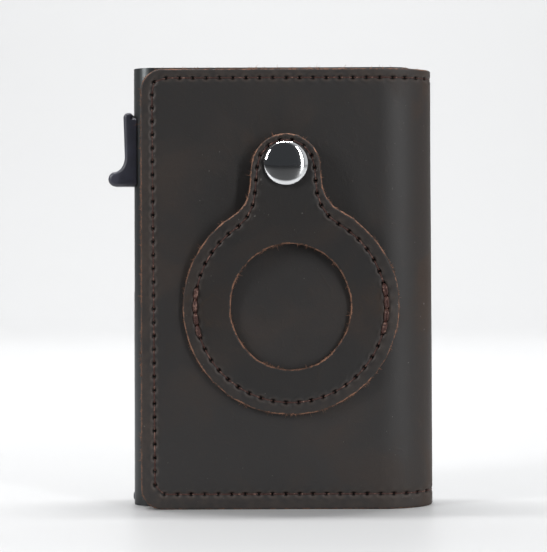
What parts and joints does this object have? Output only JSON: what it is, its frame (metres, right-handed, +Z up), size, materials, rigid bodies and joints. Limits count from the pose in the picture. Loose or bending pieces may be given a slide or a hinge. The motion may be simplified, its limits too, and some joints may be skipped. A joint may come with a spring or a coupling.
{
  "type": "card wallet",
  "caption": "Leather card wallet with a pop-up card case, a book-like front flap and a snap-closed pocket for a round tracker tag.",
  "frame": {"origin": "middle of the standing wallet's footprint, at the height of its lowest edge", "axes": "+X towards the spine, +Y towards the back panel, +Z up to the edge where the tab's snap is"},
  "size_m": [0.0746, 0.024, 0.1007],
  "materials": {
    "leather": "dark brown waxed leather, matt with a soft sheen",
    "lining": "thin dark brown leather",
    "thread": "dark reddish brown waxed thread",
    "case": "black anodised, satin",
    "plastic": "black moulded, fine texture",
    "chrome": "polished",
    "steel": "nickel plated",
    "felt": "black felt",
    "tape": "foam tape"
  },
  "bodies": {
    "case_body": {"back_leather": "leather", "back_lining": "lining", "back_thread": "thread", "case_shell": "case", "case_end_cap": "plastic", "guide_rail": "plastic", "card_brake_spring": "steel", "felt_strip_front": "felt", "felt_strip_back": "felt", "mounting_tape": "tape", "keeper_plate": "steel"},
    "spine_back": {"spine_leather_back": "leather", "spine_lining_back": "lining"},
    "spine_front": {"spine_leather_front": "leather", "spine_lining_front": "lining"},
    "flap": {"flap_leather": "leather", "flap_lining": "lining", "flap_magnet_lower": "steel", "flap_magnet_upper": "steel", "card_pocket_rear": "lining", "card_pocket_front": "lining", "flap_thread": "thread", "snap_stud": "steel", "snap_post": "steel", "tracker_pocket_front": "leather", "tracker_pocket_thread": "thread"},
    "tracker_tab": {"tracker_tab_leather": "leather", "tracker_tab_backing": "lining", "tracker_tab_thread": "thread", "snap_cap": "chrome", "snap_socket": "steel"},
    "slider": {"thumb_slider": "plastic", "card_pusher": "plastic"}
  },
  "joints": [
    {"name": "cover_fold_back", "type": "hinge", "parent": "case_body", "child": "spine_back", "pos_m": [0.02913, 0.01141, 0.05], "axis": [0, 0, 1], "range_deg": [0, 60]},
    {"name": "cover_fold_middle", "type": "hinge", "parent": "spine_back", "child": "spine_front", "pos_m": [0.03735, 0.00305, 0.05], "axis": [0, 0, 1], "range_deg": [0, 60]},
    {"name": "cover_fold_front", "type": "hinge", "parent": "spine_front", "child": "flap", "pos_m": [0.02913, -0.00531, 0.05], "axis": [0, 0, 1], "range_deg": [0, 60]},
    {"name": "tracker_tab_fold", "type": "hinge", "parent": "flap", "child": "tracker_tab", "pos_m": [0.00468, -0.0081, 0.04587], "axis": [1, 0, 0], "range_deg": [0, 120]},
    {"name": "slider_travel", "type": "slide", "parent": "case_body", "child": "slider", "axis": [0, 0, -1], "range_m": [0, 0.03]}
  ],
  "couplings": [
    {"joint": "cover_fold_middle", "follows": "cover_fold_back", "ratio": 1},
    {"joint": "cover_fold_front", "follows": "cover_fold_back", "ratio": 1}
  ]
}
